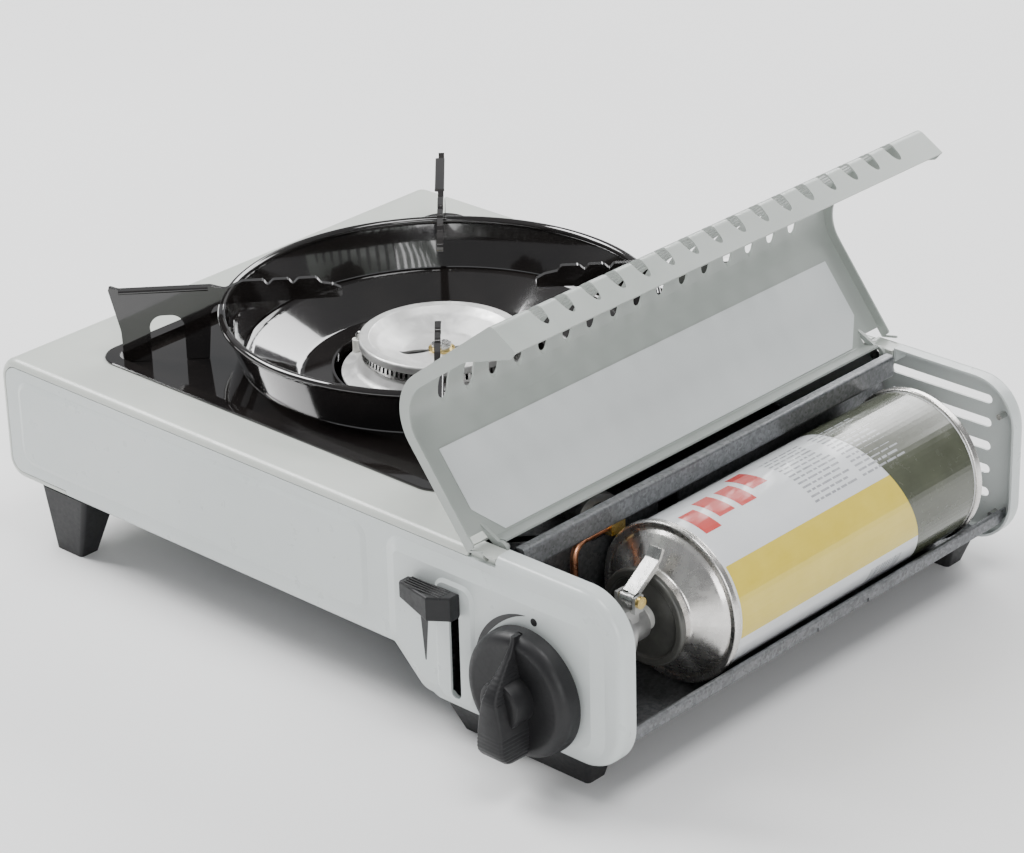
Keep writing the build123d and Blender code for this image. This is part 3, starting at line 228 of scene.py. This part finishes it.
# the crescent is a painted shadow of the knob: a dark band hugging its upper left rim, thin at the tips and
# thickest in the middle
KNOB_SHADOW_GAP = 3.3
KNOB_SHADOW_START, KNOB_SHADOW_SWEEP = 178, 82
KNOB_SHADOW_STEPS = 40
SHADOW_TIP_THICKNESS, SHADOW_BELLY_THICKNESS = 0.15, 2.45


def panel_mark(name, outline, face_y):
    """Thin flat mark on the front panel, from X and Z in millimetres: print, and for the crescent a painted
    shadow.
    """
    points = [at(x, face_y, z) for x, z in outline]
    push = Vector((0, -PRINT_AND_SHADOW_DEPTH * MM, 0))
    mesh_piece(name, lambda bm: add_prism(bm, points, push), INKS_AND_SHADE["black_ink_and_shade"], "stove_body")


# prints the dot and the lever wedge, and paints the knob's shadow as a dark crescent
def print_marks_and_knob_shadow():
    knob_low, knob_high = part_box("knob_sleeve")
    kx = ((knob_low[0] + knob_high[0]) / 2 - LEFT) / MM
    kz = (knob_low[2] + knob_high[2]) / 2 / MM
    low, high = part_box("knob")
    knob_radius = (high[0] - low[0]) / 2 / MM
    panel_mark("turn_dot", arc(kx + 1.3, kz + knob_radius + 1.9, 1.6, 0, 345, 23), FIELD_Y)
    # painted shadow of the knob, drawn as a dark crescent just outside its rim
    outer, inner = [], []
    edge = knob_radius + KNOB_SHADOW_GAP
    for k in range(KNOB_SHADOW_STEPS + 1):
        share = k / KNOB_SHADOW_STEPS
        angle = math.radians(KNOB_SHADOW_START - KNOB_SHADOW_SWEEP * share)
        thin = edge - SHADOW_TIP_THICKNESS - SHADOW_BELLY_THICKNESS * math.sin(math.pi * share)
        outer.append((kx + edge * math.cos(angle), kz + edge * math.sin(angle)))
        inner.append((kx + thin * math.cos(angle), kz + thin * math.sin(angle)))
    panel_mark("knob_painted_shadow", outer + inner[::-1], FIELD_Y)
    panel_mark("lever_wedge", [(247.0, 49.5), (251.2, 49.5), (249.4, 30.4), (248.8, 30.4)], FIELD_Y)


# cartridge print
def can_frame():
    low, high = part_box("cartridge_body")
    centre = Vector(((low[0] + high[0]) / 2, 0, (low[2] + high[2]) / 2))
    return centre, (high[0] - low[0]) / 2, low[1], high[1]


def add_can_patch(bm, y0, y1, start, end, lift, steps_per_turn=96):
    """Curved patch on the cartridge between two Y values (functions of angle) and two angles in degrees."""
    centre, radius, _, _ = can_frame()
    count = max(2, round(abs(end - start) / 360 * steps_per_turn))
    rows = []
    for i in range(count + 1):
        degrees = start + (end - start) * i / count
        a = math.radians(degrees)
        out = Vector((math.cos(a), 0, math.sin(a))) * (radius + lift)
        ends = [y(degrees) if callable(y) else y for y in (y0, y1)]
        rows.append([bm.verts.new(centre + out + Vector((0, y, 0))) for y in ends])
    for a, b in zip(rows, rows[1:]):
        bm.faces.new((a[0], a[1], b[1], b[0]))


def print_cartridge():
    _, radius, front, back = can_frame()
    length = back - front
    rear = front + length * 0.80

    def rear_edge(degrees):
        """Front edge of the dark rear band, which sweeps forward near the top."""
        swing = math.cos(math.radians(degrees - 100)) * 0.5 + 0.5
        return rear - 0.022 * swing

    def olive(bm):
        add_can_patch(bm, rear_edge, back - 0.0006, 42, 402, 0.00008)

    def yellow(bm):
        add_can_patch(bm, front + 0.0035, rear - 0.004, -12, 42, 0.00005)

    def red(bm):
        base = front + 0.007
        for k, wide in enumerate((15, 11, 15, 9)):
            start = 84 + k * 3 - wide
            add_can_patch(bm, base + k * 0.0125, base + 0.009 + k * 0.0125, start, start + 26, 0.00006)

    def greeking(bm):
        rng = random.Random(4)
        for column, (y0, y1) in enumerate(((0.062, 0.088), (0.092, 0.119))):
            for row in range(13):
                degrees = 50 + row * 4.4
                y = front + y0
                while y < front + y1 - 0.003:
                    word = rng.uniform(0.0015, 0.006)
                    add_can_patch(bm, y, min(y + word, front + y1), degrees, degrees + 1.7, 0.00007, 200)
                    y += word + 0.0009

    def bars(bm):
        rng = random.Random(9)
        y = front + 0.086
        while y < front + 0.106:
            wide = rng.uniform(0.0003, 0.0009)
            add_can_patch(bm, y, y + wide, -38, -20, 0.00006, 200)
            y += wide + rng.uniform(0.0004, 0.0009)

    mesh_piece("print_rear_band", olive, INKS_AND_SHADE["ink_olive"], "cartridge")
    mesh_piece("print_yellow_band", yellow, INKS_AND_SHADE["ink_yellow"], "cartridge")
    mesh_piece("print_red_blocks", red, INKS_AND_SHADE["ink_red"], "cartridge")
    mesh_piece("print_text_lines", greeking, INKS_AND_SHADE["ink_grey"], "cartridge")
    mesh_piece("print_bars", bars, INKS_AND_SHADE["ink_grey"], "cartridge")


# knob
def add_loft(bm, rings, closed_ends=True):
    """Skin over rings that have the same number of points."""
    made = [[bm.verts.new(p) for p in ring] for ring in rings]
    count = len(made[0])
    for near, far in zip(made, made[1:]):
        for i in range(count):
            j = (i + 1) % count
            bm.faces.new((near[i], near[j], far[j], far[i]))
    if closed_ends:
        bm.faces.new(made[0][::-1])
        bm.faces.new(made[-1])


def turned_ring(centre, radius, y, count, scallop=0.0):
    """Circle in the XZ plane at a depth y, with a scalloped edge if asked."""
    points = []
    for i in range(count):
        a = 2 * math.pi * i / count
        r = radius + (scallop if i % 2 else 0.0)
        points.append(centre + Vector((r * math.cos(a), y, r * math.sin(a))))
    return points


def ease(value, start, end):
    """0 before start, 1 after end, with a smooth step between."""
    t = min(max((value - start) / (end - start), 0.0), 1.0)
    return t * t * (3 - 2 * t)


def make_knob():
    """Knob with a domed skirt, a hub and a wedge-shaped ribbed grip, in the CAD knob's box."""
    low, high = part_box("knob")
    centre = Vector(((low[0] + high[0]) / 2, high[1], (low[2] + high[2]) / 2))
    radius = (high[0] - low[0]) / 2
    reach = high[1] - low[1]
    count = 240

    def skirt(bm):
        profile = [(radius - 0.0020, 0.0, 0), (radius - 0.0002, -0.0002, 0), (radius - 0.0002, -0.0016, -0.00025),
                   (radius - 0.0005, -0.0028, -0.00025)]
        for k in range(15):
            a = math.radians(8 + 90 * k / 14)
            profile.append((radius - 0.0052 + 0.0046 * math.cos(a), -0.0040 - 0.0046 * math.sin(a), 0))
        profile += [(0.0165, -0.0083, 0), (0.0130, -0.0080, 0), (0.0105, -0.0079, 0), (0.0092, -0.0079, 0)]
        add_loft(bm, [turned_ring(centre, r, y, count, scallop) for r, y, scallop in profile])

    def hub(bm):
        profile = [(0.0096, -0.0040), (0.0096, -0.0158), (0.0093, -0.0166), (0.0084, -0.0170), (0.0070, -0.0171)]
        add_loft(bm, [turned_ring(centre, r, y, 64) for r, y in profile])

    def grip(bm):
        rings = []
        stations = 150
        top, bottom = radius - 0.0003, -radius + 0.0009
        for k in range(stations + 1):
            z = top + (bottom - top) * k / stations
            half = 0.0009 + 0.0034 * ease(-z, -top, 0.004) + 0.0024 * ease(-z, -0.006, 0.016)
            depth = 0.0088 + (reach - 0.0088) * ease(-z, -top, -0.002)
            round_side = math.sqrt(max(1 - (1 - min((z - bottom) / 0.0068, 1.0)) ** 2, 0.0))
            round_front = math.sqrt(max(1 - (1 - min((z - bottom) / 0.0090, 1.0)) ** 2, 0.0))
            half *= max(round_side, 0.03)
            depth = 0.006 + (depth - 0.006) * max(round_front, 0.05)
            ribbed = 1.0 if 0.003 < z < 0.018 or -0.021 < z < -0.010 else 0.0
            half -= ribbed * 0.00028 * (0.5 + 0.5 * math.cos(2 * math.pi * z / 0.00155))
            foot = half * 1.22
            edge = min(0.0016, half * 0.8)
            section = [(-foot, 0.0045), (-half * 1.04, depth * 0.45), (-half, depth - edge)]
            section += [(-half + edge * (1 - math.cos(a)), depth - edge + edge * math.sin(a))
                        for a in (math.radians(v) for v in (25, 50, 75))]
            section += [(-x, y) for x, y in section[::-1]]
            rings.append([centre + Vector((x, -y, z)) for x, y in section])
        add_loft(bm, rings)

    def whole(bm):
        skirt(bm)
        hub(bm)
        grip(bm)

    knob = mesh_piece("knob_moulding", whole, FINISHES["charcoal_plastic"], "knob")
    smooth(knob, 38)
    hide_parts("knob")


def smooth(piece, degrees):
    """Smooth shading, kept sharp at edges over an angle."""
    mesh = piece.data
    mesh.polygons.foreach_set("use_smooth", [True] * len(mesh.polygons))
    mesh.set_sharp_from_angle(angle=math.radians(degrees))


def soften(node, width, segments=3):
    """Rounded edges on a CAD node, by a modifier."""
    bevel = frame["nodes"][node].modifiers.new("soft_edges", "BEVEL")
    bevel.width = width
    bevel.segments = segments
    bevel.limit_method = "ANGLE"
    bevel.angle_limit = math.radians(40)
    bevel.harden_normals = True


def add_bar(bm, centre, size):
    """Small box."""
    matrix = Matrix.Translation(centre) @ Matrix.Diagonal((*size, 1))
    bmesh.ops.create_cube(bm, size=1.0, matrix=matrix)


def rib_lever():
    """Fine finger ribs on the top of the lock lever's grip."""
    low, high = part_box("lock_grip")
    middle = (low[0] + high[0]) / 2

    def ribs(bm):
        for k in range(5):
            spot = Vector((middle, low[1] + 0.0032 + k * 0.0014, high[2] - 0.0003))
            add_bar(bm, spot, (high[0] - low[0] - 0.006, 0.0006, 0.0011))

    piece = mesh_piece("lever_ribs", ribs, FINISHES["charcoal_plastic"], "lock_lever")
    bevel = piece.modifiers.new("soft_edges", "BEVEL")
    bevel.width = 0.0002
    bevel.segments = 2


# ------------------------------------------------------------------ stage, light and camera
def area_light(name, spot, target, width, height, power, tint=(1, 1, 1)):
    lamp = bpy.data.lights.new(name, "AREA")
    lamp.shape = "RECTANGLE"
    lamp.size = width
    lamp.size_y = height
    lamp.energy = power
    lamp.color = tint
    light = bpy.data.objects.new(name, lamp)
    light.location = spot
    light.rotation_euler = (target - Vector(spot)).to_track_quat("-Z", "Y").to_euler()
    bpy.context.scene.collection.objects.link(light)


def build_stage():
    bm = bmesh.new()
    bmesh.ops.create_grid(bm, x_segments=1, y_segments=1, size=6.0)
    mesh = bpy.data.meshes.new("floor")
    bm.to_mesh(mesh)
    bm.free()
    floor = bpy.data.objects.new("floor", mesh)
    bpy.context.scene.collection.objects.link(floor)
    mesh.materials.append(finish_of("floor", (0.86, 0.86, 0.86), (0.90, 0.90, 0.90), (0.7, 0.8), blotch=3,
                                    grain=300, relief=0.00001))
    world = bpy.data.worlds.new("studio")
    world.use_nodes = True
    world.node_tree.nodes["Background"].inputs["Color"].default_value = (0.95, 0.97, 1.0, 1)
    world.node_tree.nodes["Background"].inputs["Strength"].default_value = 0.3
    bpy.context.scene.world = world
    middle = Vector((0, 0, 0.06))
    area_light("key", (-1.1, -0.3, 1.3), middle, 0.8, 0.8, 40)
    area_light("back_strip", (-0.2, 1.3, 0.9), middle, 1.6, 0.5, 22)
    area_light("overhead", (0.5, 0.0, 1.6), middle, 0.7, 0.7, 14)
    area_light("right_fill", (1.4, -0.9, 0.6), middle, 0.7, 0.9, 11)


AZIMUTH, ELEVATION, ROLL = 43.337, 25.661, -1.487
FOCAL_PX, PHOTO_WIDTH = 3448.92, 1024
DISTANCE = 1.4418
LENS_OFFSET = (-0.005737, 0.004690)


def place_camera():
    a, e, roll = (math.radians(v) for v in (AZIMUTH, ELEVATION, ROLL))
    back = Vector((math.sin(a) * math.cos(e), -math.cos(a) * math.cos(e), math.sin(e)))
    right = (-back).cross(Vector((0, 0, 1))).normalized()
    up = right.cross(-back)
    turned_right = right * math.cos(roll) + up * math.sin(roll)
    turned_up = -right * math.sin(roll) + up * math.cos(roll)
    aim = at(176.5, 137, 50)
    camera = bpy.data.objects.new("camera", bpy.data.cameras.new("camera"))
    camera.data.sensor_width = 36.0
    camera.data.lens = FOCAL_PX * camera.data.sensor_width / PHOTO_WIDTH
    camera.data.shift_x = -5.0 / PHOTO_WIDTH
    camera.data.dof.use_dof = False
    spot = aim + back * DISTANCE + turned_right * LENS_OFFSET[0] + turned_up * LENS_OFFSET[1]
    turn = Matrix((turned_right, turned_up, back)).transposed().to_4x4()
    camera.matrix_world = Matrix.Translation(spot) @ turn
    bpy.context.scene.collection.objects.link(camera)
    bpy.context.scene.camera = camera


dress_cad()
print_marks_and_knob_shadow()
print_cartridge()
make_knob()
rib_lever()
build_stage()
place_camera()
